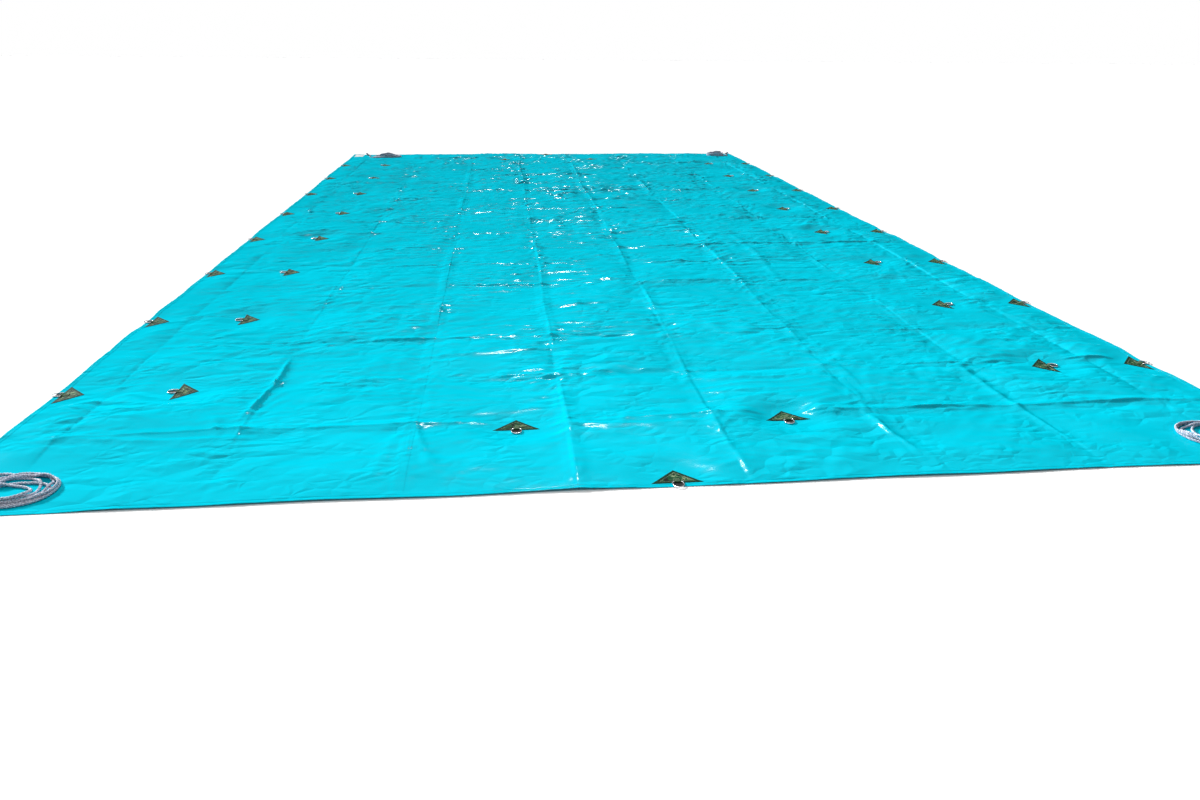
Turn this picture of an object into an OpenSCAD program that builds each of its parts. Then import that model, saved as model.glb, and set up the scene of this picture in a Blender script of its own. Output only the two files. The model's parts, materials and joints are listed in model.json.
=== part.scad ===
// Heavy duty ground sheet with sewn-on lashing rings.
// A coated fabric sheet, three rolls wide, lies flat on z = 0 with its length along Y.
// Camouflage corner patches hold D-rings in two rows along each side and at both ends.
// A coiled lashing rope is tied to a webbing loop at each corner.

/* [Sheet] */
// Finished width of the sheet, across X
sheet_w = 5000; // [4000:100:8000]
// Finished length of the sheet, along Y
sheet_l = 9000; // [9000:100:12000]
// Thickness of one layer of the coated fabric
fabric_t = 0.6; // [0.4:0.1:0.8]
// Width of the middle roll between the two weld lines
middle_w = 1920; // [1600:20:2400]
// Width of the welded lap between two rolls
lap_w = 40; // [30:5:60]
// Width of the folded and welded hem
hem_w = 25; // [20:1:25]

/* [Ring layout] */
// Rings in each row along a long side
rings_per_row = 8; // [4:1:8]
// Distance from one ring to the next
ring_pitch = 1000; // [800:50:1000]
// Ring bar to sheet edge, for the rings at the hem
hem_inset = 29; // [29:1:40]
// Ring bar to sheet edge, for the inner rings
inner_inset = 500; // [300:10:600]
// Distance from the middle line to the two inner rings at each end
end_offset = 550; // [300:10:600]

/* [Rings] */
// Diameter of the ring's wire
wire_d = 4.5; // [4:0.5:5]
// Outside width of a ring
ring_w = 43; // [40:1:50]
// Straight part of a ring, from its bar to its bow
ring_leg = 18.5; // [15:0.5:24]
// Height of a ring bar's middle above the floor
bar_z = 4.6; // [4.6:0.1:5]
// Radial clearance of the bar in its webbing tab
bar_play = 0.1; // [0.05:0.01:0.1]

/* [Patches] */
// Long edge of a triangular patch
patch_w = 186; // [150:2:200]
// Thickness of a patch
patch_t = 1.4; // [1:0.1:1.4]
// Width of the webbing tab round the ring's bar
tab_w = 24; // [20:1:26]
// Length of the tab, from the bar to its sewn end
tab_l = 28; // [22:1:40]
// Thickness of the tab's webbing
tab_t = 1.2; // [1:0.1:1.2]
// Width of the rubber chafe pad under a ring
pad_w = 37; // [34:1:37]

/* [Ropes] */
// Diameter of the lashing ropes
rope_d = 10; // [8:1:10]
// Height of a loosely coiled rope
coil_h = 40; // [30:1:44]
// Width of the band that a coil's turns take
coil_band = 50; // [40:1:60]

/* [Hidden] */
SIDES = ["front", "right", "back", "left"];
CORNERS = ["front_left", "front_right", "back_left", "back_right"];
LONG_ROWS = ["left_hem", "left_inner", "right_hem", "right_inner"];
END_RINGS = ["front_hem", "front_inner_1", "front_inner_2", "back_hem", "back_inner_1", "back_inner_2"];
RING_NODES = concat(
    [for (row = LONG_ROWS) for (i = [1:rings_per_row]) str("ring_", row, "_", i)],
    [for (ring = END_RINGS) str("ring_", ring)]
);
ROPE_NODES = concat(
    [for (corner = CORNERS) str("rope_", corner)],
    [for (corner = CORNERS) str("coil_", corner)]
);
SHEET_NODES = ["panel_left", "panel_middle", "panel_right", "hem_front", "hem_back", "hem_left", "hem_right"];
TRIM_NODES = ["patches_hem", "patches_inner", "tabs", "chafe_pads", "corner_loops", "rope_knots", "label"];

// Sheet
sheet_blue = [0.0, 0.76, 0.84];
weld_x = middle_w / 2;
lap_root = 2;
// Rings: the wire's middle line is a bar, two bends, two legs and a half-round bow
wire_r = wire_d / 2;
bow_r = (ring_w - wire_d) / 2;
bend_r = 5;
bar_half = bow_r - bend_r;
// Patches, measured from the ring's bar, which is at y = 0 with the ring along -Y
patch_base = -3;
patch_h = patch_w / 2;
sleeve_r = wire_r + bar_play + tab_t + 0.05;
pad_start = -4;
pad_top = 2;
edge_gap = 1;
// Corner loops: their middles, measured from their corners, with a tunnel along the diagonal
loops = [[55, 55], [55, 55], [190, 55], [55, 55]];
loop_foot = 60;
loop_w = 25;
loop_t = 1.5;
tunnel_r = 6;
rope_z = 8.1;
knot_back = 22;
knot_r = 16;
knot_gap = 0.1;
knot_z = 2 * fabric_t + knot_gap + knot_r;
// Label in the back left corner, measured from that corner
label_at = [30, 30];
label_size = [105, 200];
label_t = 0.3;
exact = 32;

// Places of a row's rings along a long side
row_places = [for (i = [1:rings_per_row]) (i - (rings_per_row + 1) / 2) * ring_pitch];
function inset_of(row) = row == "hem" ? hem_inset : inner_inset;

// Angle that turns a ring along -Y to the outward direction of a side
function side_angle(side) = [0, 90, 180, -90][search([side], SIDES)[0]];

// Where the bar of a ring is: side, row and distance along the side
function bar_place(side, inset, along) =
    side == "front" ? [along, inset - sheet_l / 2, 0] :
    side == "back" ? [along, sheet_l / 2 - inset, 0] :
    side == "left" ? [inset - sheet_w / 2, along, 0] :
    [sheet_w / 2 - inset, along, 0];

// Every ring as [name, side, row, distance along the side]
all_rings = concat(
    [for (side = ["left", "right"]) for (row = ["hem", "inner"]) for (i = [1:rings_per_row])
        [str("ring_", side, "_", row, "_", i), side, row, row_places[i - 1]]],
    [for (side = ["front", "back"]) [str("ring_", side, "_hem"), side, "hem", 0]],
    [for (side = ["front", "back"]) for (i = [1, 2])
        [str("ring_", side, "_inner_", i), side, "inner", (2 * i - 3) * end_offset]]
);

// The uncoiled stretch of each rope, from its knot to its coil, measured from its corner
routes = [
    [[38, 38, 8.1], [55, 55, 8.1], [68, 68, 8.1], [82, 90, 6.9], [86, 116, 5.8], [84, 142, 5.7],
     [80, 168, 5.7], [80, 194, 5.7], [86, 220, 5.7], [98, 244, 5.7], [118, 262, 5.7], [142, 274, 5.7],
     [168, 279, 5.7], [194, 276, 5.7], [216, 266, 5.7], [236, 262, 5.7]],
    [[38, 38, 8.1], [55, 55, 8.1], [68, 68, 8.1], [84, 92, 6.9], [90, 120, 5.8], [88, 150, 5.7],
     [84, 180, 5.7], [84, 210, 5.7], [88, 240, 5.7], [96, 268, 5.7], [112, 294, 5.7], [134, 316, 5.7],
     [160, 332, 5.7], [188, 338, 5.7], [216, 336, 5.7], [240, 330, 5.7]],
    [[173, 38, 8.1], [190, 55, 8.1], [203, 68, 8.1], [214, 88, 6.9], [219, 110, 5.8], [220, 134, 5.7],
     [218, 158, 5.7], [218, 182, 5.7], [222, 206, 5.7], [230, 230, 5.7], [242, 254, 5.7],
     [258, 276, 5.7], [280, 294, 5.7], [304, 305, 5.7], [330, 309, 5.7], [358, 306, 5.7],
     [384, 299, 5.7]],
    [[38, 38, 8.1], [55, 55, 8.1], [68, 68, 8.1], [80, 86, 6.9], [84, 108, 5.8], [80, 130, 5.7],
     [74, 152, 5.7], [72, 176, 5.7], [76, 200, 5.7], [84, 224, 5.7], [98, 246, 5.7], [118, 262, 5.7],
     [142, 269, 5.7], [166, 266, 5.7], [188, 256, 5.7], [208, 244, 5.7]],
];

// Each coil's middle and half sizes, measured from its corner
coils = [
    [255, 150, 155, 120],
    [285, 215, 175, 125],
    [450, 195, 190, 110],
    [225, 150, 125, 100],
];
tube_sides = 10;

function unit(v) = v / norm(v);

// Direction of a route at one of its points
function heading(route, i) =
    unit(route[min(i + 1, len(route) - 1)] - route[max(i - 1, 0)]);

// Points of a round tube's ring at one of the route's points
function tube_ring(route, i, r) =
    let (ahead = heading(route, i), side = unit(cross([0, 0, 1], ahead)), up = cross(ahead, side))
    [for (k = [0:tube_sides - 1])
        route[i] + r * cos(360 * k / tube_sides) * side + r * sin(360 * k / tube_sides) * up];

// A round tube along a route's own points
module tube(route, r) {
    last = len(route) - 1;
    polyhedron(
        points = [for (i = [0:last]) each tube_ring(route, i, r)],
        faces = concat(
            [[for (k = [0:tube_sides - 1]) k]],
            [for (i = [0:last - 1]) for (k = [0:tube_sides - 1])
                let (next = (k + 1) % tube_sides, a = i * tube_sides, b = a + tube_sides)
                [a + next, a + k, b + k, b + next]],
            [[for (k = [tube_sides - 1:-1:0]) last * tube_sides + k]]
        ),
        convexity = 4
    );
}

// Places a child drawn from a corner, with +X and +Y inward along the two edges
module at_corner(i) {
    right = i % 2;
    back = i < 2 ? 0 : 1;
    translate([(right - 0.5) * sheet_w, (back - 0.5) * sheet_l, 0])
        mirror([right, 0, 0])
            mirror([0, back, 0])
                children();
}

// Places a child drawn round a ring's bar
module at_ring(ring) {
    translate(bar_place(ring[1], inset_of(ring[2]), ring[3]))
        rotate([0, 0, side_angle(ring[1])])
            children();
}

// One side roll, from the sheet's edge to its raised welding lap
module side_panel(side) {
    edge = sheet_w / 2;
    lap_end = weld_x + lap_w / 2;
    mirror([side < 0 ? 1 : 0, 0, 0])
        color(sheet_blue) {
            translate([lap_end, -sheet_l / 2, 0])
                cube([edge - lap_end, sheet_l, fabric_t]);
            translate([lap_end - lap_w, hem_w - sheet_l / 2, fabric_t])
                cube([lap_w + lap_root, sheet_l - 2 * hem_w, fabric_t]);
        }
}

module panel_left() {
    side_panel(-1);
}

module panel_middle() {
    width = middle_w + lap_w;
    color(sheet_blue)
        translate([-width / 2, -sheet_l / 2, 0])
            cube([width, sheet_l, fabric_t]);
}

module panel_right() {
    side_panel(1);
}

// The folded hem along a long side
module side_hem(side) {
    mirror([side < 0 ? 1 : 0, 0, 0])
        color(sheet_blue)
            translate([sheet_w / 2 - hem_w, -sheet_l / 2, fabric_t])
                cube([hem_w, sheet_l, fabric_t]);
}

// The folded hem along an end, between the side hems
module end_hem(end) {
    mirror([0, end < 0 ? 1 : 0, 0])
        color(sheet_blue)
            translate([hem_w - sheet_w / 2, sheet_l / 2 - hem_w, fabric_t])
                cube([sheet_w - 2 * hem_w, hem_w, fabric_t]);
}

module hem_front() {
    end_hem(-1);
}

module hem_back() {
    end_hem(1);
}

module hem_left() {
    side_hem(-1);
}

module hem_right() {
    side_hem(1);
}

// One triangular patch, its long edge just outside the bar and its point inward
module patch() {
    translate([0, patch_base, fabric_t])
        linear_extrude(patch_t)
            polygon([[-patch_w / 2, 0], [patch_w / 2, 0], [0, patch_h]]);
}

module patches(row) {
    color("darkolivegreen")
        for (ring = all_rings)
            if (ring[2] == row)
                at_ring(ring)
                    patch();
}

module patches_hem() {
    patches("hem");
}

module patches_inner() {
    patches("inner");
}

// Webbing folded round a ring's bar, its two ends sewn down on the patch
module tab() {
    floor_z = fabric_t + patch_t;
    end_z = floor_z + tab_t;
    lean = asin((bar_z - end_z) / tab_l);
    difference() {
        union() {
            translate([-tab_w / 2, 0, bar_z])
                rotate([0, 90, 0])
                    cylinder(h = tab_w, r = sleeve_r, $fn = exact);
            translate([-tab_w / 2, 0, 0])
                rotate([90, 0, 90])
                    linear_extrude(tab_w)
                        polygon([
                            [-sleeve_r, floor_z],
                            [-sleeve_r, bar_z],
                            [sleeve_r * sin(lean), bar_z + sleeve_r * cos(lean)],
                            [tab_l, end_z],
                            [tab_l, floor_z],
                        ]);
        }
        translate([-tab_w, -2 * sleeve_r, floor_z - 2 * sleeve_r])
            cube([2 * tab_w, 4 * sleeve_r, 2 * sleeve_r]);
        translate([-tab_w, 0, bar_z])
            rotate([0, 90, 0])
                cylinder(h = 2 * tab_w, r = wire_r + bar_play, $fn = exact);
    }
}

module tabs() {
    color("gray")
        for (ring = all_rings)
            at_ring(ring)
                tab();
}

// Rubber pad under a ring's opening, cut short at the sheet's edge
module chafe_pad(bottom, reach) {
    r = pad_w / 2;
    intersection() {
        union() {
            translate([-r, -ring_leg, bottom])
                cube([pad_w, ring_leg + pad_start, pad_top - bottom]);
            translate([0, -ring_leg, bottom])
                cylinder(h = pad_top - bottom, r = r, $fn = exact);
        }
        translate([-pad_w, -reach, 0])
            cube([2 * pad_w, reach + pad_start, 2 * pad_top]);
    }
}

module chafe_pads() {
    color("black")
        for (ring = all_rings) {
            at_hem = ring[2] == "hem";
            at_ring(ring)
                chafe_pad(
                    bottom = at_hem ? 2 * fabric_t : fabric_t,
                    reach = at_hem ? hem_inset - edge_gap : 2 * ring_w
                );
        }
}

// One D-ring, round its bar, with its bow along -Y
module d_ring() {
    color("silver")
        translate([0, 0, bar_z]) {
            translate([-bar_half, 0, 0])
                rotate([0, 90, 0])
                    cylinder(h = 2 * bar_half, r = wire_r, $fn = exact);
            for (side = [-1, 1]) {
                translate([side * bar_half, -bend_r, 0])
                    rotate([0, 0, side < 0 ? 90 : 0])
                        rotate_extrude(angle = 90, $fn = exact)
                            translate([bend_r, 0])
                                circle(r = wire_r, $fn = exact);
                translate([side * bow_r, -bend_r, 0])
                    rotate([90, 0, 0])
                        cylinder(h = ring_leg - bend_r, r = wire_r, $fn = exact);
            }
            translate([0, -ring_leg, 0])
                rotate([0, 0, 180])
                    rotate_extrude(angle = 180, $fn = exact)
                        translate([bow_r, 0])
                            circle(r = wire_r, $fn = exact);
        }
}

// Webbing loop sewn down at a corner, with a tunnel along the diagonal
module corner_loop(middle) {
    hull_r = tunnel_r + loop_t;
    foot_z = fabric_t + loop_t;
    translate([middle[0], middle[1], 0])
        rotate([0, 0, 45])
            difference() {
                union() {
                    translate([-loop_w / 2, -loop_foot / 2, fabric_t])
                        cube([loop_w, loop_foot, loop_t]);
                    translate([-loop_w / 2, -hull_r, fabric_t])
                        cube([loop_w, 2 * hull_r, rope_z - fabric_t]);
                    translate([-loop_w / 2, 0, rope_z])
                        rotate([0, 90, 0])
                            cylinder(h = loop_w, r = hull_r, $fn = exact);
                }
                translate([-loop_w, -tunnel_r, foot_z])
                    cube([2 * loop_w, 2 * tunnel_r, rope_z - foot_z]);
                translate([-loop_w, 0, rope_z])
                    rotate([0, 90, 0])
                        cylinder(h = 2 * loop_w, r = tunnel_r, $fn = exact);
            }
}

module corner_loops() {
    color("darkgreen")
        for (i = [0:3])
            at_corner(i)
                corner_loop(loops[i]);
}

// The stopper knots that keep the ropes in their loops
module rope_knots() {
    color("lightslategray")
        for (i = [0:3])
            at_corner(i)
                translate([loops[i][0] - knot_back, loops[i][1] - knot_back, knot_z])
                    sphere(r = knot_r, $fn = exact);
}

// The uncoiled stretch of one rope
module rope(i) {
    color("lightslategray")
        at_corner(i)
            tube(routes[i], rope_d / 2);
}

// An upright slab with round ends
module stadium(half_l, half_w, bottom, height) {
    straight = half_l - half_w;
    for (side = [-1, 1])
        translate([side * straight, 0, bottom])
            cylinder(h = height, r = half_w, $fn = exact);
    translate([-straight, -half_w, bottom])
        cube([2 * straight, 2 * half_w, height]);
}

// The outer shape of one rope's loose coil
module coil(i) {
    half_l = coils[i][2];
    half_w = coils[i][3];
    bottom = fabric_t + knot_gap;
    color("lightslategray")
        at_corner(i)
            translate([coils[i][0], coils[i][1], 0])
                difference() {
                    stadium(half_l, half_w, bottom, coil_h);
                    stadium(half_l - coil_band, half_w - coil_band, bottom - 1, coil_h + 2);
                }
}

// Blank label welded on at the back left corner
module label() {
    color("white")
        at_corner(2)
            translate([label_at[0], label_at[1], fabric_t])
                cube([label_size[0], label_size[1], label_t]);
}

panel_left();
panel_middle();
panel_right();
hem_front();
hem_back();
hem_left();
hem_right();
patches_hem();
patches_inner();
tabs();
chafe_pads();
corner_loops();
rope_knots();
label();
for (i = [0:3]) rope(i);
for (i = [0:3]) coil(i);
for (ring = all_rings) at_ring(ring) d_ring();
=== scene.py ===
"""The looks of a ground sheet with lashing rings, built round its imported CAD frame.

Everything is in metres in the part's own frame: +Y runs along the sheet, +Z is up, and the floor is z = 0.
The sheet lies in wrinkles, and whatever is sewn to it or lies on it is placed by lay(), which follows them.
"""
import functools
import json
import math

import bpy
import numpy as np
from mathutils import Matrix, Vector


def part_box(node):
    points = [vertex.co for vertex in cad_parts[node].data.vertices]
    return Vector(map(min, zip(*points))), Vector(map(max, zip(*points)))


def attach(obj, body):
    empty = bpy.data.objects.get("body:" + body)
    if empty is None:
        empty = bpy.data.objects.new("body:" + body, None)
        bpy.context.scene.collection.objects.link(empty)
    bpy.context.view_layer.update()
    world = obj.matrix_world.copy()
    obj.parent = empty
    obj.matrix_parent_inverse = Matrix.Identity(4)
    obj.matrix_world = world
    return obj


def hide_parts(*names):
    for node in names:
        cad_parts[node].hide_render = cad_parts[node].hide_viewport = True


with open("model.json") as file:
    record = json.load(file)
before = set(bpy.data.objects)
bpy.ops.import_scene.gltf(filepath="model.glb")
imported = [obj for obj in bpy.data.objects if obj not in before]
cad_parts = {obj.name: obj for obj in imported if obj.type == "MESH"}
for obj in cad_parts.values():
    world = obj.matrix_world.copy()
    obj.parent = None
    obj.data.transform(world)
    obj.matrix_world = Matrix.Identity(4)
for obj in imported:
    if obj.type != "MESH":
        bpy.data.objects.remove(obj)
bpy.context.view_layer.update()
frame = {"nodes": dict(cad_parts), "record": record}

MM = 0.001
HALF_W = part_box("panel_right")[1].x
HALF_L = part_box("panel_middle")[1].y
FABRIC_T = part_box("panel_middle")[1].z
LAP_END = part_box("panel_middle")[1].x
LAP_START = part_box("panel_right")[0].x
HEM_W = HALF_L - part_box("hem_back")[0].y
CORNERS = ("front_left", "front_right", "back_left", "back_right")
CORNER_SIGNS = ((-1, -1), (1, -1), (-1, 1), (1, 1))


class Ring:
    """One D-ring's place: its bar's middle, the outward direction and the direction along its bar."""

    def __init__(self, joint):
        self.name = joint["child"]
        self.x, self.y, self.bar_z = joint["pos_m"]
        ax, ay, _ = joint["axis"]
        self.inward = (ay, -ax)
        self.along = (self.inward[1], -self.inward[0])
        self.at_hem = "_hem" in self.name

    def place(self, u, v):
        """Places in the sheet of points u along the bar and v inward from it."""
        u, v = np.asarray(u, float), np.asarray(v, float)
        x = self.x + u * self.along[0] + v * self.inward[0]
        y = self.y + u * self.along[1] + v * self.inward[1]
        return x, y


RINGS = [Ring(joint) for joint in frame["record"]["behaviour"]["joints"]]


# ---------------------------------------------------------------- camera

CAMERA_AT = (-0.570, -6.973, 1.422)
CAMERA_YAW, CAMERA_PITCH, CAMERA_ROLL = (math.radians(a) for a in (6.01, 22.6, 0.56))
CAMERA_LENS = 24.98
SENSOR_WIDTH = 36
CAMERA_SHIFT = (0.0076, -0.0115)
CLIP_END = 200


def make_camera():
    """A camera turned clockwise of +Y by the yaw, down by the pitch and on its side by the roll."""
    data = bpy.data.cameras.new("camera")
    camera = bpy.data.objects.new("camera", data)
    bpy.context.scene.collection.objects.link(camera)
    ahead = Vector((math.sin(CAMERA_YAW) * math.cos(CAMERA_PITCH),
                    math.cos(CAMERA_YAW) * math.cos(CAMERA_PITCH),
                    -math.sin(CAMERA_PITCH)))
    level = Vector((math.cos(CAMERA_YAW), -math.sin(CAMERA_YAW), 0))
    above = level.cross(ahead)
    right = math.cos(CAMERA_ROLL) * level + math.sin(CAMERA_ROLL) * above
    up = math.cos(CAMERA_ROLL) * above - math.sin(CAMERA_ROLL) * level
    turn = Matrix((right, up, -ahead)).transposed()
    camera.matrix_world = Matrix.Translation(CAMERA_AT) @ turn.to_4x4()
    data.sensor_width = SENSOR_WIDTH
    data.lens = CAMERA_LENS
    data.shift_x, data.shift_y = CAMERA_SHIFT
    data.clip_end = CLIP_END
    bpy.context.scene.camera = camera


make_camera()


# ---------------------------------------------------------------- mesh helpers

class Parts:
    """Collects points and faces of one piece, each face with the number of its material."""

    def __init__(self):
        self.points = []
        self.faces = []
        self.materials = []

    def add(self, points, faces, material=0):
        start = len(self.points)
        self.points.extend(map(tuple, np.asarray(points, float).reshape(-1, 3)))
        self.faces.extend(tuple(start + i for i in face) for face in faces)
        self.materials.extend([material] * len(faces))

    def build(self, name, materials):
        """Makes a smooth-shaded object of the collected mesh."""
        mesh = bpy.data.meshes.new(name)
        mesh.from_pydata(self.points, [], self.faces)
        for material in materials:
            mesh.materials.append(material)
        mesh.polygons.foreach_set("material_index", self.materials)
        mesh.polygons.foreach_set("use_smooth", [True] * len(self.faces))
        mesh.validate()
        mesh.update()
        obj = bpy.data.objects.new(name, mesh)
        bpy.context.scene.collection.objects.link(obj)
        return obj


def fixed(piece, node):
    """Says that a piece stands for a CAD node and stays with the sheet."""
    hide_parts(node)
    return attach(piece, "root")


def grid_faces(rows, columns, wrap_columns=False):
    """Four-sided faces of a grid of rows times columns points."""
    column_steps = columns if wrap_columns else columns - 1
    i, j = np.meshgrid(np.arange(rows - 1), np.arange(column_steps), indexing="ij")
    next_i, next_j = i + 1, (j + 1) % columns
    corners = (i * columns + j, i * columns + next_j, next_i * columns + next_j, next_i * columns + j)
    return np.stack(corners, -1).reshape(-1, 4).tolist()


def end_faces(rows, columns):
    """The two faces that close the ends of a grid wrapped along its columns."""
    last = (rows - 1) * columns
    return [list(range(columns - 1, -1, -1)), list(range(last, last + columns))]


def frames_along(path):
    """Tangents and two normals along a path, turned as little as possible from point to point."""
    path = np.asarray(path, float)
    ahead = np.gradient(path, axis=0)
    ahead /= np.linalg.norm(ahead, axis=1)[:, None]
    first = np.cross(ahead[0], (0, 0, 1) if abs(ahead[0][2]) < 0.9 else (1, 0, 0))
    normals = [first / np.linalg.norm(first)]
    for tangent in ahead[1:]:
        normal = normals[-1] - tangent * (normals[-1] @ tangent)
        normals.append(normal / np.linalg.norm(normal))
    normals = np.array(normals)
    return ahead, normals, np.cross(ahead, normals)


def tube(path, radius, sides):
    """Points and faces of a round tube along a path. radius is one number or one for each point."""
    path = np.asarray(path, float)
    _, side, up = frames_along(path)
    radius = np.broadcast_to(np.asarray(radius, float), (len(path),))
    angle = 2 * math.pi * np.arange(sides) / sides
    spokes = side[:, None] * np.cos(angle)[None, :, None] + up[:, None] * np.sin(angle)[None, :, None]
    points = path[:, None] + radius[:, None, None] * spokes
    faces = grid_faces(len(path), sides, wrap_columns=True)
    faces += end_faces(len(path), sides)
    return points.reshape(-1, 3), faces


def smoothstep(low, high, value):
    """Rises smoothly from 0 at low to 1 at high."""
    t = np.clip((value - low) / (high - low), 0, 1)
    return t * t * (3 - 2 * t)


# ---------------------------------------------------------------- the sheet's wrinkles

@functools.lru_cache(maxsize=None)
def gradient_table(seed):
    """Directions of the slopes at the corners of the noise's squares."""
    angles = np.random.RandomState(seed).uniform(0, 2 * math.pi, (256, 256))
    return np.cos(angles), np.sin(angles)


def noise(x, y, size_x, size_y, seed, turn=0.0):
    """Smooth noise from about -1 to 1, with bumps size_x by size_y, turned by turn degrees."""
    slope_u, slope_v = gradient_table(seed)
    c, s = math.cos(math.radians(turn)), math.sin(math.radians(turn))
    x, y = np.broadcast_arrays(np.asarray(x, float), np.asarray(y, float))
    u, v = (x * c + y * s) / size_x + 100.5, (y * c - x * s) / size_y + 100.5
    iu, iv = np.floor(u).astype(int), np.floor(v).astype(int)
    fu, fv = u - iu, v - iv

    def corner(du, dv):
        where = (iu + du) % 256, (iv + dv) % 256
        return slope_u[where] * (fu - du) + slope_v[where] * (fv - dv)

    su, sv = (f ** 3 * (f * (6 * f - 15) + 10) for f in (fu, fv))
    low = corner(0, 0) * (1 - su) + corner(1, 0) * su
    high = corner(0, 1) * (1 - su) + corner(1, 1) * su
    return 1.5 * (low * (1 - sv) + high * sv)


def ridges(x, y, long, short, seed, turn=0.0, sharp=3.0):
    """A net of sharp-topped wrinkles from 0 to 1, long in one direction and short in the other."""
    bend_x = 0.25 * long * noise(x, y, 2.1 * long, 2.1 * long, seed + 1)
    bend_y = 0.25 * long * noise(x, y, 2.1 * long, 2.1 * long, seed + 2)
    field = noise(x + bend_x, y + bend_y, long, short, seed, turn)
    return np.clip(1 - sharp * np.abs(field), 0, 1) ** 1.5


def patches_of(x, y, size, seed, share=0.0):
    """Soft-edged areas, 1 inside and 0 outside. A higher share makes them cover more."""
    return smoothstep(-0.25, 0.35, noise(x, y, size, size, seed) + share)


# Folds from when the sheet was packed: x of the lengthwise ones, and the pitch of those across
FOLDS_ALONG = (-2.27, -1.60, -0.95, -0.36, 0.25, 0.90, 1.60, 2.21)
FOLD_PITCH = 0.5
FOLDS_ACROSS = [FOLD_PITCH * i - 3.95 for i in range(17)]

# Single folds as x and y of both ends, height and half width
SINGLE_FOLDS = (
    (-1.64, -3.86, -1.60, -3.14, 15 * MM, 11 * MM),
    (-1.73, -3.84, -1.67, -4.03, 9 * MM, 9 * MM),
    (-0.95, -3.90, -0.83, -4.38, 9 * MM, 13 * MM),
    (-0.96, -3.92, -1.06, -4.40, 7 * MM, 12 * MM),
    (-0.45, -3.98, 0.30, -4.01, 15 * MM, 60 * MM),
    (0.20, -4.00, 0.80, -3.90, 14 * MM, 55 * MM),
    (0.25, -3.95, 0.28, -4.50, 12 * MM, 40 * MM),
    (0.88, -3.95, 0.95, -4.35, 10 * MM, 15 * MM),
    (1.15, -2.05, 1.17, -0.50, 8 * MM, 14 * MM),
    (1.56, -3.40, 1.62, -4.40, 10 * MM, 22 * MM),
    (-2.30, -3.95, -1.55, -4.04, 9 * MM, 18 * MM),
    (-1.15, -3.20, -0.30, -3.10, 8 * MM, 16 * MM),
)


def crease(distance, height, spread):
    """A sharp-topped fold with a flattened strip beside it."""
    strip = 1 / (1 + np.exp(np.clip((np.abs(distance) - 2.6 * spread) / (0.45 * spread), -30, 30)))
    return height * (0.65 * np.exp(-np.abs(distance) / spread) + 0.35 * strip)


def packing_folds(x, y):
    """Folds along and across the sheet, lower and rounder where the lengthwise ones reach the front edge."""
    height = np.zeros(np.broadcast(x, y).shape)
    front = np.exp(-(y + HALF_L) / 0.30)
    for i, fold_x in enumerate(FOLDS_ALONG):
        wander = 16 * MM * noise(i, y, 1, 0.8, 11 + i)
        rise = np.clip(0.70 + 0.9 * noise(i, y, 1, 0.45, 31 + i), 0.25, 1.2)
        offset = x - fold_x - wander
        strong = 0.6 if abs(fold_x) > 1 else 1.0
        height = height + strong * (1 - 0.6 * front) * crease(offset, 13 * MM * rise, 14 * MM)
        height = height + 12 * MM * rise * front * np.exp(-(offset / (85 * MM)) ** 2)
    for j, fold_y in enumerate(FOLDS_ACROSS):
        wander = 22 * MM * noise(x, j, 0.7, 1, 51 + j)
        rise = np.clip(0.60 + 0.9 * noise(x, j, 0.4, 1, 71 + j), 0.1, 1.1)
        height = height + crease(y - fold_y - wander, 16 * MM * rise, 14 * MM)
    return height


def cells(x, y):
    """Each field between the packing folds is a little tilted and domed."""
    nodes_x = np.array((-HALF_W - 0.1,) + FOLDS_ALONG + (HALF_W + 0.1,))
    nodes_y = np.array([-HALF_L - 0.1] + FOLDS_ACROSS + [HALF_L + 0.1])
    rng = np.random.RandomState(5)
    corner_z = rng.uniform(0, 20 * MM, (len(nodes_x), len(nodes_y)))
    dome_z = rng.uniform(5 * MM, 18 * MM, corner_z.shape)
    i = np.clip(np.searchsorted(nodes_x, x) - 1, 0, len(nodes_x) - 2)
    j = np.clip(np.searchsorted(nodes_y, y) - 1, 0, len(nodes_y) - 2)
    s = np.clip((x - nodes_x[i]) / (nodes_x[i + 1] - nodes_x[i]), 0, 1)
    t = np.clip((y - nodes_y[j]) / (nodes_y[j + 1] - nodes_y[j]), 0, 1)
    near = corner_z[i, j] * (1 - s) + corner_z[i + 1, j] * s
    far = corner_z[i, j + 1] * (1 - s) + corner_z[i + 1, j + 1] * s
    dome = (1 - np.abs(2 * s - 1) ** 6) * (1 - np.abs(2 * t - 1) ** 5)
    return near * (1 - t) + far * t + dome_z[i, j] * dome


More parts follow.
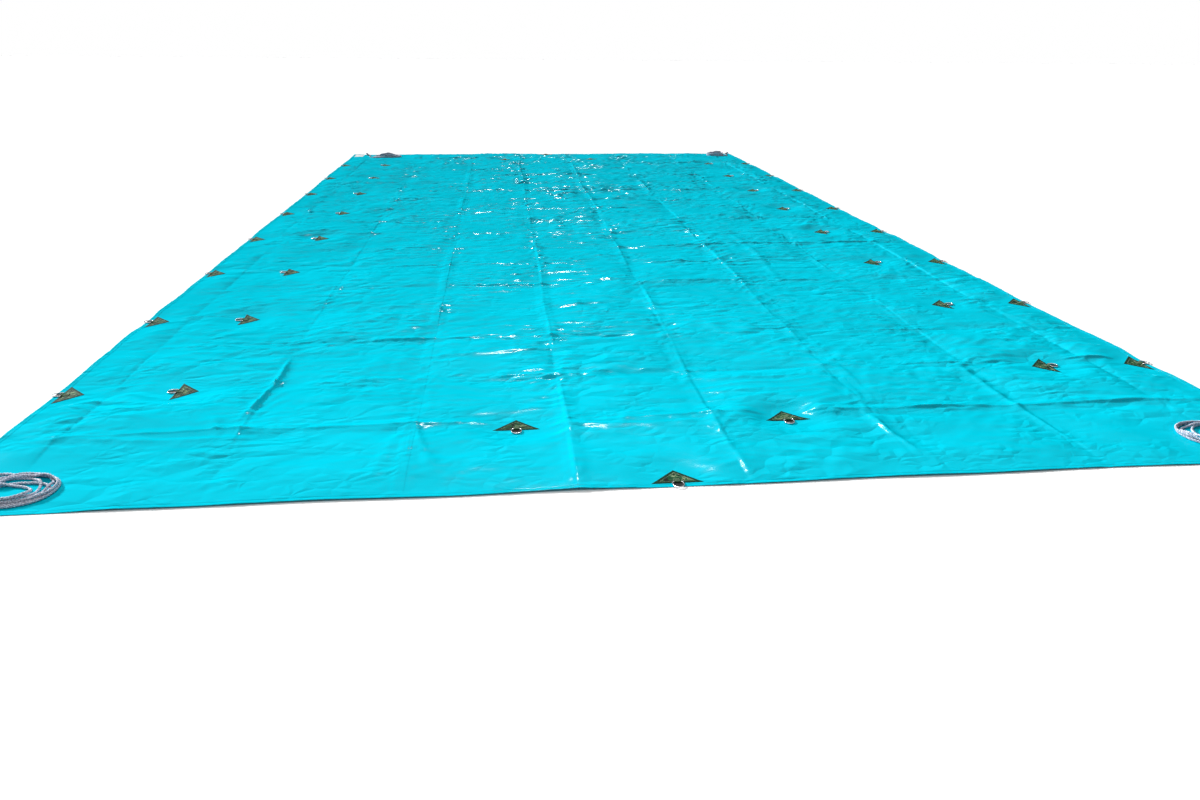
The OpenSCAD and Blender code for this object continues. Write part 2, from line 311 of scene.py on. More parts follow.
def wrinkles(x, y):
    """Nets of small folds in several directions, over low broad waves."""
    middle = 0.85 + 0.35 * np.exp(-((x - 0.1) / 1.2) ** 2)
    middle = middle * (0.40 + 0.60 * smoothstep(-HALF_L + 0.2, -HALF_L + 1.1, y))
    across = 4.8 * MM * ridges(x, y, 0.34, 0.070, 101, turn=4) * patches_of(x, y, 0.55, 131)
    across = across + 3.2 * MM * ridges(x, y, 0.22, 0.045, 111, turn=-9) * patches_of(x, y, 0.4, 137, -0.1)
    slanted = 4.0 * MM * ridges(x, y, 0.34, 0.085, 151, turn=31) * patches_of(x, y, 0.45, 139)
    slanted = slanted + 3.8 * MM * ridges(x, y, 0.30, 0.080, 161, turn=-36) * patches_of(x, y, 0.45, 149)
    slanted = slanted + 3.0 * MM * ridges(x, y, 0.28, 0.075, 165, turn=68) * patches_of(x, y, 0.5, 155, -0.1)
    crumpled = 2.6 * MM * ridges(x, y, 0.13, 0.085, 171, turn=20, sharp=2.6) * patches_of(x, y, 0.35, 157)
    broad = 5.0 * MM * noise(x, y, 0.55, 0.38, 181) + 3.6 * MM * noise(x, y, 0.24, 0.12, 191)
    middle = middle * (1 + 0.6 * smoothstep(-2.5, 2.0, y))
    return middle * (across + slanted + crumpled) + broad


def single_folds(x, y):
    """The folds of SINGLE_FOLDS, each slightly bowed and lower towards its ends."""
    height = 0
    for x0, y0, x1, y1, rise, spread in SINGLE_FOLDS:
        run_x, run_y = x1 - x0, y1 - y0
        length = math.hypot(run_x, run_y)
        along = ((x - x0) * run_x + (y - y0) * run_y) / length ** 2
        offset = ((x - x0) * run_y - (y - y0) * run_x) / length
        bow = 0.03 * length * np.sin(math.pi * np.clip(along, 0, 1))
        taper = smoothstep(-0.05, 0.25, along) * smoothstep(1.05, 0.75, along)
        height = height + rise * taper * np.exp(-np.abs(offset - bow) / spread)
    return height


def outside_box(x, y, low, high):
    """Distance from places to a rectangle, 0 inside it."""
    dx = np.maximum(np.maximum(low[0] - x, x - high[0]), 0)
    dy = np.maximum(np.maximum(low[1] - y, y - high[1]), 0)
    return np.hypot(dx, dy)


def calm(x, y):
    """0 where the fabric has to be flat under a ring or a rope's anchor, 1 where it is free."""
    free = np.ones(np.broadcast(x, y).shape)
    for ring in RINGS:
        patch_x, patch_y = ring.place(0, 22 * MM)
        free = free * smoothstep(55 * MM, 210 * MM, np.hypot(x - patch_x, y - patch_y))
    for corner in range(4):
        anchor_x, anchor_y = corner_place(corner, *ANCHORS[corner])
        free = free * smoothstep(35 * MM, 150 * MM, np.hypot(x - anchor_x, y - anchor_y))
        low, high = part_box("coil_" + CORNERS[corner])
        free = free * (0.05 + 0.95 * smoothstep(0, 0.25, outside_box(x, y, low, high)))
    return free


def relief(x, y):
    """Height of the wrinkled fabric above where it would lie flat."""
    height = packing_folds(x, y) + cells(x, y) + wrinkles(x, y) + single_folds(x, y) - 9 * MM
    height = 0.5 * (height + np.sqrt(height ** 2 + (3 * MM) ** 2))
    from_edge = np.minimum(HALF_W - np.abs(x), HALF_L - np.abs(y))
    return height * calm(x, y) * (0.4 + 0.6 * smoothstep(0, 0.16, from_edge))


def sway(x, y):
    """How far the sheet's edges wander from straight, in x and in y."""
    free = calm(x, y)
    side = np.sign(x) * smoothstep(HALF_W - 0.7, HALF_W, np.abs(x))
    end = np.sign(y) * smoothstep(HALF_L - 0.7, HALF_L, np.abs(y))
    out_x = 10 * MM * noise(np.sign(x), y, 1, 0.75, 201) * side * free
    out_y = 9 * MM * noise(x, np.sign(y), 0.6, 1, 211) * end * free
    return out_x, out_y


def lay(x, y, up=0.0):
    """Points on the wrinkled sheet's top, raised by up."""
    x, y = np.broadcast_arrays(np.asarray(x, float), np.asarray(y, float))
    out_x, out_y = sway(x, y)
    return np.stack((x + out_x, y + out_y, FABRIC_T + relief(x, y) + up), -1)


# ---------------------------------------------------------------- ropes

ROPE_D = 10 * MM
ROPE_LENGTH = 4.0
ROPE_STEP = 4 * MM
STRAND_PITCH = 34 * MM
STRAND_OFFSET = 0.262 * ROPE_D
STRAND_R = 0.246 * ROPE_D
DIAGONAL = math.sqrt(0.5)
# Where each rope is anchored, from its corner along X and along Y
ANCHORS = ((0.055, 0.055), (0.055, 0.055), (0.190, 0.055), (0.055, 0.055))
# Each rope's route from its knot to its coil, from its corner inward
ROUTES = (
    ((0.038, 0.038), (0.055, 0.055), (0.068, 0.068), (0.082, 0.090), (0.086, 0.116), (0.084, 0.142),
     (0.080, 0.168), (0.080, 0.194), (0.086, 0.220), (0.098, 0.244), (0.118, 0.262), (0.142, 0.274),
     (0.168, 0.279), (0.194, 0.276), (0.216, 0.266), (0.236, 0.262)),
    ((0.038, 0.038), (0.055, 0.055), (0.068, 0.068), (0.084, 0.092), (0.090, 0.120), (0.088, 0.150),
     (0.084, 0.180), (0.084, 0.210), (0.088, 0.240), (0.096, 0.268), (0.112, 0.294), (0.134, 0.316),
     (0.160, 0.332), (0.188, 0.338), (0.216, 0.336), (0.240, 0.330)),
    ((0.173, 0.038), (0.190, 0.055), (0.203, 0.068), (0.214, 0.088), (0.219, 0.110), (0.220, 0.134),
     (0.218, 0.158), (0.218, 0.182), (0.222, 0.206), (0.230, 0.230), (0.242, 0.254), (0.258, 0.276),
     (0.280, 0.294), (0.304, 0.305), (0.330, 0.309), (0.358, 0.306), (0.384, 0.299)),
    ((0.038, 0.038), (0.055, 0.055), (0.068, 0.068), (0.080, 0.086), (0.084, 0.108), (0.080, 0.130),
     (0.074, 0.152), (0.072, 0.176), (0.076, 0.200), (0.084, 0.224), (0.098, 0.246), (0.118, 0.262),
     (0.142, 0.269), (0.166, 0.266), (0.188, 0.256), (0.208, 0.244)),
)
# The rope's height at a route's first points, where it comes down from its loop, and at the others
ROUTE_START_Z = (0.0081, 0.0081, 0.0081, 0.0069, 0.0058)
ROUTE_Z = 0.0057
# Each turn of a coil: its size along X and Y, and how far it is shifted in the room left, from -1 to 1
COIL_LOOPS = (
    ((1.00, 1.00, 0.0, 0.0), (0.72, 0.74, 0.6, -0.9), (0.93, 0.88, -0.9, 0.8), (0.60, 0.66, -0.3, 0.5),
     (0.84, 0.80, 0.9, 0.2), (0.66, 0.60, -0.8, -0.6), (0.90, 0.85, 0.4, 0.9), (0.70, 0.70, 0.0, 0.0)),
    ((1.00, 1.00, 0.0, 0.0), (0.64, 0.70, -0.9, -0.8), (0.88, 0.80, 0.9, 0.7), (0.56, 0.60, -0.2, 0.6),
     (0.78, 0.86, 0.8, -0.7), (0.60, 0.70, -0.7, 0.3), (0.85, 0.80, 0.2, 0.9), (0.70, 0.70, 0.0, 0.0)),
    ((1.00, 1.00, 0.0, 0.0), (0.78, 0.70, -0.8, 0.9), (0.62, 0.84, 0.7, -0.6), (0.90, 0.66, 0.3, 0.6),
     (0.58, 0.72, -0.6, -0.4), (0.80, 0.80, 0.9, 0.5), (0.70, 0.64, -0.5, 0.2), (0.70, 0.70, 0.0, 0.0)),
    ((1.00, 1.00, 0.0, 0.0), (0.86, 0.70, 0.9, -0.9), (0.70, 0.90, -0.9, 0.6), (0.95, 0.80, 0.5, 0.9),
     (0.75, 0.62, -0.6, -0.8), (0.90, 0.95, 0.9, 0.2), (0.66, 0.72, -0.2, 0.9), (0.80, 0.80, 0.0, 0.0)),
)


def corner_place(corner, x, y):
    """Place in the sheet of a point x and y inward from a corner."""
    sign_x, sign_y = CORNER_SIGNS[corner]
    return sign_x * (HALF_W - x), sign_y * (HALF_L - y)


def resample(path, step):
    """A smooth line through the points of a path, cut into even steps."""
    path = np.asarray(path, float)
    ends = np.vstack((2 * path[0] - path[1], path, 2 * path[-1] - path[-2]))
    t = np.linspace(0, 1, 8, endpoint=False)[:, None]
    fine = []
    for a, b, c, d in zip(ends, ends[1:], ends[2:], ends[3:]):
        fine.append(0.5 * (2 * b + (c - a) * t + (2 * a - 5 * b + 4 * c - d) * t ** 2
                           + (3 * b - a - 3 * c + d) * t ** 3))
    fine = np.vstack(fine + [path[-1:]])
    along = np.concatenate(([0], np.cumsum(np.linalg.norm(np.diff(fine, axis=0), axis=1))))
    places = np.arange(0, along[-1], step)
    return np.stack([np.interp(places, along, fine[:, k]) for k in range(fine.shape[1])], -1)


def eased(values, t):
    """Runs smoothly from each value to the next as t passes each whole number."""
    i = np.clip(np.floor(t).astype(int), 0, len(values) - 2)
    s = smoothstep(0, 1, t - i)
    return values[i] * (1 - s) + values[i + 1] * s


COIL_MARGIN = 8 * MM
COIL_STEPS = 36


def coil_turns(corner, start):
    """A loose coil's turns from the point where the route ends, as x and y from the corner."""
    low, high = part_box("coil_" + CORNERS[corner])
    full_x, full_y = (high.x - low.x) / 2 - COIL_MARGIN, (high.y - low.y) / 2 - COIL_MARGIN
    centre_x = HALF_W - abs(high.x + low.x) / 2
    centre_y = HALF_L - abs(high.y + low.y) / 2
    start_angle = math.atan2(start[1] - centre_y, start[0] - centre_x)
    loops = np.array(COIL_LOOPS[corner])
    t = np.arange(0, len(loops) - 1, 1 / COIL_STEPS)
    size_x, size_y, shift_x, shift_y = (eased(loops[:, k], t) for k in range(4))
    half_x, half_y = full_x * size_x, full_y * size_y
    angle = start_angle - 2 * math.pi * (t + 0.05)
    fullness = 2 / 2.3
    oval_x = half_x * np.sign(np.cos(angle)) * np.abs(np.cos(angle)) ** fullness
    oval_y = half_y * np.sign(np.sin(angle)) * np.abs(np.sin(angle)) ** fullness
    shifted_x = centre_x + oval_x + (full_x - half_x) * shift_x
    shifted_y = centre_y + oval_y + (full_y - half_y) * shift_y
    return np.stack((shifted_x, shifted_y), -1)


def route_points(corner):
    """A route with the rope's height at each of its points."""
    plan = np.array(ROUTES[corner])
    z = np.full(len(plan), ROUTE_Z)
    z[:len(ROUTE_START_Z)] = ROUTE_START_Z
    return np.column_stack((plan, z))


def rope_plan(corner):
    """Route and coil as one smooth line of the rope's length, as x and y from the corner."""
    route = np.array(ROUTES[corner])
    turns = coil_turns(corner, route[-1])
    flat = resample(np.vstack((route, turns)), ROPE_STEP)
    flat = flat[:int(ROPE_LENGTH / ROPE_STEP) + 1]
    kernel = np.hanning(17) / np.hanning(17).sum()
    padded = np.pad(flat, ((8, 8), (0, 0)), mode="reflect", reflect_type="odd")
    return np.stack([np.convolve(padded[:, k], kernel, mode="valid") for k in range(2)], -1)


def stacked(spots, base):
    """Heights of a rope's middle line that lies on base and on the turns laid before."""
    z = base.copy()
    own = int(3 * ROPE_D / ROPE_STEP)
    for _ in range(6):
        for i in range(own, len(z)):
            gap = np.hypot(spots[:i - own, 0] - spots[i, 0], spots[:i - own, 1] - spots[i, 1])
            over = gap < ROPE_D
            if over.any():
                needed = z[:i - own][over] + np.sqrt(ROPE_D ** 2 - gap[over] ** 2)
                z[i] = max(base[i], needed.max())
        for order in (range(1, len(z)), range(len(z) - 2, -1, -1)):
            for i in order:
                behind = i - 1 if order.step > 0 else i + 1
                z[i] = max(z[i], z[behind] - 0.3 * ROPE_STEP)
    return z


def rope_path(corner):
    """The whole rope's middle line in the sheet's frame, its turns lying on and over each other."""
    plan = rope_plan(corner)
    x, y = corner_place(corner, plan[:, 0], plan[:, 1])
    spots = lay(x, y, 0.51 * ROPE_D)
    route_z = resample(route_points(corner), ROPE_STEP)[:, 2]
    base = spots[:, 2].copy()
    shared = min(len(route_z), len(base))
    base[:shared] = np.maximum(base[:shared], route_z[:shared])
    z = stacked(spots, base)
    kernel = np.hanning(11)[1:-1] / np.hanning(11).sum()
    soft = np.convolve(np.pad(z, 4, mode="edge"), kernel, mode="valid")
    soft[:2] = z[:2]
    return np.stack((spots[:, 0], spots[:, 1], np.maximum(soft, base)), -1)


def laid_rope(parts, path):
    """Three strands twisted round a path."""
    path = np.asarray(path, float)
    _, side, up = frames_along(path)
    along = np.concatenate(([0], np.cumsum(np.linalg.norm(np.diff(path, axis=0), axis=1))))
    for strand in range(3):
        angle = 2 * math.pi * (along / STRAND_PITCH + strand / 3)
        offset = side * np.cos(angle)[:, None] + up * np.sin(angle)[:, None]
        parts.add(*tube(path + STRAND_OFFSET * offset, STRAND_R, 9))


def stopper_path(corner):
    """An overhand knot seen along the rope, with a short end, in the sheet's frame."""
    low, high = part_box("rope_knots")
    middle_z = low.z + 0.5 * (high.z - low.z)
    turn_r = 3.7 * MM
    t = np.linspace(0.35, 2 * math.pi + 0.10, 90)
    across = turn_r * (np.sin(t) + 2 * np.sin(2 * t))
    rise = turn_r * (np.cos(t) - 2 * np.cos(2 * t))
    deep = 6.5 * MM * -np.sin(3 * t)
    back = 22 * MM
    anchor_x, anchor_y = ANCHORS[corner]
    local_x = anchor_x - back + DIAGONAL * (deep + across)
    local_y = anchor_y - back + DIAGONAL * (deep - across)
    x, y = corner_place(corner, local_x, local_y)
    return resample(np.stack((x, y, middle_z + rise), -1), 3 * MM)


def whipping(parts, path):
    """Thread wound round a rope's end."""
    wound = resample(path[-7:-1], 0.5 * MM)
    wave = np.abs(np.sin(np.arange(len(wound)) * 1.1))
    parts.add(*tube(wound, 0.53 * ROPE_D + 0.3 * MM * wave, 16))


# ---------------------------------------------------------------- materials

def new_material(name, colour, roughness, **inputs):
    """A material with its plain values set on the shader's own sockets, and its nodes and shader."""
    material = bpy.data.materials.new(name)
    material.use_nodes = True
    shader = material.node_tree.nodes["Principled BSDF"]
    shader.inputs["Base Color"].default_value = (*colour, 1)
    shader.inputs["Roughness"].default_value = roughness
    for key, value in inputs.items():
        shader.inputs[key.replace("_", " ")].default_value = value
    return material, material.node_tree, shader


def texture(tree, kind, scale, stretch=(1, 1, 1), turn=0.0, **settings):
    """A texture node over object space, stretched and turned about Z."""
    place = tree.nodes.new("ShaderNodeTexCoord")
    mapping = tree.nodes.new("ShaderNodeMapping")
    mapping.inputs["Scale"].default_value = stretch
    mapping.inputs["Rotation"].default_value = (0, 0, turn)
    node = tree.nodes.new(kind)
    node.inputs["Scale"].default_value = scale
    for key, value in settings.items():
        if key in node.inputs:
            node.inputs[key].default_value = value
        else:
            setattr(node, key, value)
    tree.links.new(place.outputs["Object"], mapping.inputs["Vector"])
    tree.links.new(mapping.outputs["Vector"], node.inputs["Vector"])
    return node


def ramp(tree, source, stops, interpolation="LINEAR"):
    """Maps a texture to colours."""
    node = tree.nodes.new("ShaderNodeValToRGB")
    node.color_ramp.interpolation = interpolation
    while len(node.color_ramp.elements) < len(stops):
        node.color_ramp.elements.new(0.5)
    for element, (position, colour) in zip(node.color_ramp.elements, stops):
        element.position = position
        element.color = (*colour, 1)
    tree.links.new(source, node.inputs["Fac"])
    return node.outputs["Color"]


def levels(tree, source, low, high):
    """Maps a texture's 0 to 1 to a range."""
    node = tree.nodes.new("ShaderNodeMapRange")
    node.inputs["To Min"].default_value = low
    node.inputs["To Max"].default_value = high
    tree.links.new(source, node.inputs["Value"])
    return node.outputs["Result"]


def bump(tree, shader, source, distance, strength=1.0, before=None):
    """Adds a bump on top of the one before and gives its normals to the shader."""
    node = tree.nodes.new("ShaderNodeBump")
    node.inputs["Distance"].default_value = distance
    node.inputs["Strength"].default_value = strength
    tree.links.new(source, node.inputs["Height"])
    if before is not None:
        tree.links.new(before, node.inputs["Normal"])
    tree.links.new(node.outputs["Normal"], shader.inputs["Normal"])
    return node.outputs["Normal"]


def crumples(tree, scale, stretch, turn):
    """Small flat facets with creases between them, gathered in places."""
    facets = texture(tree, "ShaderNodeTexVoronoi", scale, stretch=(stretch, 1, 1), turn=turn,
                     Randomness=1.0, feature="DISTANCE_TO_EDGE")
    bend = texture(tree, "ShaderNodeTexNoise", 0.6 * scale, Detail=2.0)
    mapping = facets.inputs["Vector"].links[0].from_node
    pull = tree.nodes.new("ShaderNodeVectorMath")
    pull.operation = "MULTIPLY_ADD"
    pull.inputs[1].default_value = (0.9 / scale, 0.9 / scale, 0)
    tree.links.new(bend.outputs["Color"], pull.inputs[0])
    tree.links.new(mapping.outputs["Vector"], pull.inputs[2])
    tree.links.new(pull.outputs["Vector"], facets.inputs["Vector"])
    gather = texture(tree, "ShaderNodeTexNoise", 0.22 * scale, Detail=1.0)
    here = tree.nodes.new("ShaderNodeMapRange")
    here.inputs["From Min"].default_value = 0.42
    here.inputs["From Max"].default_value = 0.62
    tree.links.new(gather.outputs["Fac"], here.inputs["Value"])
    height = tree.nodes.new("ShaderNodeMath")
    height.operation = "MULTIPLY"
    tree.links.new(facets.outputs["Distance"], height.inputs[0])
    tree.links.new(here.outputs["Result"], height.inputs[1])
    return height.outputs["Value"]


def coated_fabric(name="coated_fabric", tint=1.0):
    """Glossy turquoise coating over a fine woven base."""
    colour = (0.0, 0.50 * tint, 0.64 * tint)
    material, tree, shader = new_material(name, colour, 0.30, Specular_IOR_Level=0.0,
                                          Coat_Weight=0.14, Coat_Roughness=0.14)
    cloud = texture(tree, "ShaderNodeTexNoise", 1.6, Detail=3.0)
    stops = ((0.3, (0.0, 0.47 * tint, 0.60 * tint)), (0.7, (0.0, 0.53 * tint, 0.68 * tint)))
    tree.links.new(ramp(tree, cloud.outputs["Fac"], stops), shader.inputs["Base Color"])
    smear = texture(tree, "ShaderNodeTexNoise", 9.0, stretch=(0.5, 1, 1), Detail=4.0)
    tree.links.new(levels(tree, smear.outputs["Fac"], 0.22, 0.40), shader.inputs["Roughness"])
    crinkle = texture(tree, "ShaderNodeTexNoise", 7.0, stretch=(0.60, 1, 1), turn=0.3, Detail=3.0,
                      Roughness=0.5, Distortion=0.6, noise_type="RIDGED_MULTIFRACTAL")
    first = bump(tree, shader, crinkle.outputs["Fac"], 4.0 * MM, 0.7)
    second = bump(tree, shader, crumples(tree, 8.0, 0.5, 0.2), 22 * MM, 0.9, first)
    third = bump(tree, shader, crumples(tree, 19.0, 0.6, -0.5), 9 * MM, 0.9, second)
    weave = texture(tree, "ShaderNodeTexWave", 260.0, turn=0.785, Distortion=0.6)
    bump(tree, shader, weave.outputs["Fac"], 0.04 * MM, 0.2, third)
    return material


def camouflage():
    material, tree, shader = new_material("camouflage", (0.03, 0.09, 0.04), 0.7, Specular_IOR_Level=0.1)
    blotch = texture(tree, "ShaderNodeTexNoise", 24.0, stretch=(1, 1.4, 1), Detail=3.0, Distortion=0.9)
    stops = ((0.0, (0.002, 0.010, 0.005)), (0.43, (0.005, 0.050, 0.018)), (0.50, (0.020, 0.090, 0.038)),
             (0.56, (0.20, 0.27, 0.15)), (0.60, (0.004, 0.032, 0.012)))
    tree.links.new(ramp(tree, blotch.outputs["Fac"], stops, "CONSTANT"), shader.inputs["Base Color"])
    weave = texture(tree, "ShaderNodeTexWave", 500.0, Distortion=0.4)
    bump(tree, shader, weave.outputs["Fac"], 0.12 * MM, 0.5)
    return material


def woven(name, colour, scale=380.0):
    """Webbing or binding with a ribbed weave."""
    material, tree, shader = new_material(name, colour, 0.7, Specular_IOR_Level=0.1)
    tone = texture(tree, "ShaderNodeTexNoise", 90.0, Detail=4.0)
    stops = ((0.3, tuple(0.8 * c for c in colour)), (0.7, tuple(1.2 * c for c in colour)))
    tree.links.new(ramp(tree, tone.outputs["Fac"], stops), shader.inputs["Base Color"])
    ribs = texture(tree, "ShaderNodeTexWave", scale, turn=0.785, Distortion=0.5)
    bump(tree, shader, ribs.outputs["Fac"], 0.25 * MM, 0.6)
    return material


def rope_fibre():
    material, tree, shader = new_material("rope_fibre", (0.2, 0.24, 0.3), 0.62, Specular_IOR_Level=0.35)
    tone = texture(tree, "ShaderNodeTexNoise", 210.0, Detail=5.0)
    stops = ((0.32, (0.20, 0.22, 0.30)), (0.48, (0.44, 0.47, 0.58)), (0.62, (0.76, 0.79, 0.88)))
    tree.links.new(ramp(tree, tone.outputs["Fac"], stops), shader.inputs["Base Color"])
    yarn = texture(tree, "ShaderNodeTexNoise", 900.0, Detail=3.0)
    bump(tree, shader, yarn.outputs["Fac"], 0.3 * MM, 0.6)
    return material


def pad_rubber():
    material, tree, shader = new_material("pad_rubber", (0.006, 0.006, 0.007), 0.6, Specular_IOR_Level=0.2)
    grain = texture(tree, "ShaderNodeTexVoronoi", 900.0)
    bump(tree, shader, grain.outputs["Distance"], 0.2 * MM, 0.4)
    tone = texture(tree, "ShaderNodeTexNoise", 60.0, Detail=3.0)
    tree.links.new(levels(tree, tone.outputs["Fac"], 0.5, 0.75), shader.inputs["Roughness"])
    return material


def plated_steel():
    material, tree, shader = new_material("plated_steel", (0.78, 0.79, 0.80), 0.16, Metallic=1.0)
    haze = texture(tree, "ShaderNodeTexNoise", 120.0, Detail=5.0)
    tree.links.new(levels(tree, haze.outputs["Fac"], 0.08, 0.28), shader.inputs["Roughness"])
    scratches = texture(tree, "ShaderNodeTexNoise", 700.0, stretch=(1, 0.15, 1), Detail=2.0)
    bump(tree, shader, scratches.outputs["Fac"], 0.04 * MM, 0.3)
    return material


def label_film():
    material, tree, shader = new_material("label_film", (0.86, 0.87, 0.86), 0.35)
    tone = texture(tree, "ShaderNodeTexNoise", 25.0, Detail=3.0)
    stops = ((0.3, (0.80, 0.81, 0.80)), (0.7, (0.90, 0.91, 0.90)))
    tree.links.new(ramp(tree, tone.outputs["Fac"], stops), shader.inputs["Base Color"])
    ripple = texture(tree, "ShaderNodeTexNoise", 40.0, Detail=2.0)
    bump(tree, shader, ripple.outputs["Fac"], 0.5 * MM, 0.3)
    return material


def pale_floor():
    material, tree, shader = new_material("pale_floor", (0.98, 0.98, 0.98), 0.9, Specular_IOR_Level=0.0)
    tone = texture(tree, "ShaderNodeTexNoise", 3.0, Detail=4.0)
    stops = ((0.3, (0.975, 0.975, 0.975)), (0.7, (0.985, 0.985, 0.985)))
    tree.links.new(ramp(tree, tone.outputs["Fac"], stops), shader.inputs["Base Color"])
    return material


SHEET_BLUE = coated_fabric()
HEM_BLUE = coated_fabric("hem_fabric", 0.95)
CAMOUFLAGE = camouflage()
BINDING = woven("green_binding", (0.001, 0.028, 0.012))
WEBBING = woven("webbing", (0.04, 0.09, 0.045))
LOOP_WEBBING = woven("loop_webbing", (0.05, 0.10, 0.06))
THREAD = woven("thread", (0.34, 0.40, 0.29), 1500.0)
ROPE_FIBRE = rope_fibre()
WHIPPING_THREAD = woven("whipping_thread", (0.10, 0.12, 0.16), 1500.0)
RUBBER = pad_rubber()
STEEL = plated_steel()
LABEL_FILM = label_film()


def make_ropes():
    for corner, name in enumerate(CORNERS):
        path = rope_path(corner)
        parts = Parts()
        laid_rope(parts, path)
        rope = parts.build("laid_rope_" + name, [ROPE_FIBRE])
        parts = Parts()
        laid_rope(parts, stopper_path(corner))
        knot = parts.build("stopper_knot_" + name, [ROPE_FIBRE])
        parts = Parts()
        whipping(parts, path)
        end = parts.build("whipping_" + name, [WHIPPING_THREAD])
        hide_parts("rope_" + name, "coil_" + name)
        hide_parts("rope_knots")
        for piece in (rope, knot, end):
            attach(piece, "root")


make_ropes()


# ---------------------------------------------------------------- sheet and hems

def crowded(low, high, count, centres, spread, extra):
    """Places from low to high, closer together near the centres."""
    fine = np.linspace(low, high, 4000)
    density = np.ones(fine.shape)
    for centre in centres:
        density += extra * np.exp(-((fine - centre) / spread) ** 2)
    total = np.concatenate(([0], np.cumsum((density[1:] + density[:-1]) / 2)))
    return np.interp(np.linspace(0, total[-1], count), total, fine)


SHEET_ROWS = 900
EDGE_TUCK = 1.0 * MM
ROW_PLACES = crowded(-HALF_L + EDGE_TUCK, HALF_L - EDGE_TUCK, SHEET_ROWS, FOLDS_ACROSS, 0.05, 0.8)


def sheet_panel(name, xs, rise=None):
    """One roll of the sheet over the places xs, raised along them by rise."""
    x, y = np.meshgrid(xs, ROW_PLACES)
    points = lay(x, y, 0.0 if rise is None else rise[None, :])
    parts = Parts()
    parts.add(points, grid_faces(len(ROW_PLACES), len(xs)))
    panel = parts.build("fabric_" + name, [SHEET_BLUE])
    return fixed(panel, "panel_" + name)


def side_places(sign):
    """Places across a side roll: its raised lap over the middle roll first, then the rest."""
    lap = np.array([LAP_START, LAP_START + 4 * MM, LAP_END - 12 * MM, LAP_END, LAP_END + 4 * MM])
    centres = [abs(f) for f in FOLDS_ALONG if f * sign > LAP_END]
    rest = crowded(LAP_END + 18 * MM, HALF_W - EDGE_TUCK, 100, centres, 0.05, 2.2)
    places = np.concatenate((lap, rest))
    rise = np.where(places < LAP_END + 2 * MM, FABRIC_T, 0.0)
    if sign < 0:
        return -places[::-1], rise[::-1]
    return places, rise


def make_sheet():
    middle_x = crowded(-LAP_END, LAP_END, 111, [f for f in FOLDS_ALONG if abs(f) < LAP_END], 0.05, 2.2)
    return {
        "left": sheet_panel("left", *side_places(-1)),
        "middle": sheet_panel("middle", middle_x),
        "right": sheet_panel("right", *side_places(1)),
    }


# Cross-section of a hem, as distance in from the edge and height above the fabric's underside
HEM_SECTION = np.array((
    (1.02, 0.3), (1.01, 1.2), (0.97, 1.45), (0.66, 1.5), (0.63, 1.15), (0.60, 1.05), (0.57, 1.15),
    (0.54, 1.5), (0.14, 1.75), (0.05, 1.6), (0.00, 1.0), (0.03, 0.35), (0.12, 0.1), (0.96, 0.05),
))


def make_hem(side):
    """The folded edge along one side, swept over the wrinkles."""
    along_y = side in ("left", "right")
    sign = -1 if side in ("left", "front") else 1
    half = HALF_L if along_y else HALF_W - HEM_W
    places = np.linspace(-half, half, 760 if along_y else 420)
    inward = HEM_SECTION[:, 0] * HEM_W
    up = HEM_SECTION[:, 1] * MM - FABRIC_T
    edge = sign * ((HALF_W if along_y else HALF_L) - inward)
    x, y = (edge[None, :], places[:, None]) if along_y else (places[:, None], edge[None, :])
    points = lay(x, y, up[None, :])
    parts = Parts()
    parts.add(points, grid_faces(len(places), len(inward), wrap_columns=True))
    last = (len(places) - 1) * len(inward)
    parts.add(points, [list(range(len(inward))), list(range(last + len(inward) - 1, last - 1, -1))])
    hem = parts.build("folded_hem_" + side, [HEM_BLUE])
    return fixed(hem, "hem_" + side)


panels = make_sheet()
hems = {side: make_hem(side) for side in ("front", "back", "left", "right")}


# ---------------------------------------------------------------- patches, tabs and pads

PATCH_HALF = 93 * MM
PATCH_BASE = -3 * MM
PATCH_TIP = PATCH_BASE + PATCH_HALF
PATCH_TOP = 1.4 * MM
BINDING_W = 12 * MM
PATCH_CORNERS = np.array(((-PATCH_HALF, PATCH_BASE), (PATCH_HALF, PATCH_BASE), (0, PATCH_TIP)))
PATCH_MIDDLE = np.array((0, PATCH_BASE + PATCH_HALF * (math.sqrt(2) - 1)))


def inner_triangle(inset):
    """The patch's corners moved in, so that each side is inset from the patch's own side."""
    in_radius = PATCH_MIDDLE[1] - PATCH_BASE
    return PATCH_MIDDLE + (PATCH_CORNERS - PATCH_MIDDLE) * (1 - inset / in_radius)


def on_sheet(ring, u, v, up):
    x, y = ring.place(u, v)
    return lay(x, y, up)


def add_plate(parts, ring):
    """The patch's fabric, as a fine triangle that follows the sheet."""
    a, b, c = inner_triangle(0.6 * BINDING_W)
    n = 14
    index, spots = {}, []
    for i in range(n + 1):
        for j in range(n + 1 - i):
            index[i, j] = len(spots)
            spots.append(a + (b - a) * i / n + (c - a) * j / n)
    faces = [(index[i, j], index[i + 1, j], index[i, j + 1])
             for i in range(n) for j in range(n - i)]
    faces += [(index[i + 1, j], index[i + 1, j + 1], index[i, j + 1])
              for i in range(n - 1) for j in range(n - 1 - i)]
    spots = np.array(spots)
    swell = 0.15 * MM * noise(spots[:, 0] + ring.y, spots[:, 1] + ring.x, 0.03, 0.03, 401)
    parts.add(on_sheet(ring, spots[:, 0], spots[:, 1], PATCH_TOP - 0.25 * MM + swell), faces, 0)


